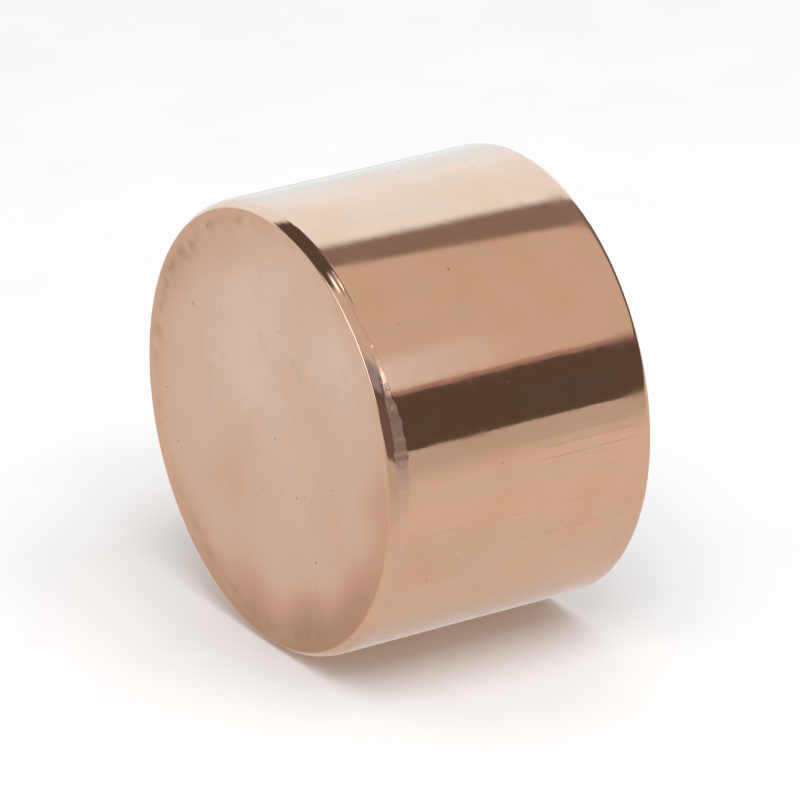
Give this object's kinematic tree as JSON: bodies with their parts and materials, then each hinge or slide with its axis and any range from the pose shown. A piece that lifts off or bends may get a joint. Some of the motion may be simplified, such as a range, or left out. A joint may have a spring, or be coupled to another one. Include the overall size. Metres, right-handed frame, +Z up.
{
  "type": "pipe cap",
  "caption": "Copper end-feed pipe cap: a plain drawn cup with a flat closed end, soldered over the end of a tube to close it.",
  "frame": {"origin": "centre of the mouth's rim plane, on the pipe axis", "axes": "+X along the pipe axis, out of the mouth; the closed end faces -X; +Z up with the cap lying on its side"},
  "size_m": [0.0291, 0.0446, 0.0446],
  "materials": {
    "copper": "bare drawn copper, polished by the die on the wall, satin on the closed end, lightly tarnished"
  },
  "bodies": {
    "root": {"cap_shell": "copper"}
  },
  "joints": []
}
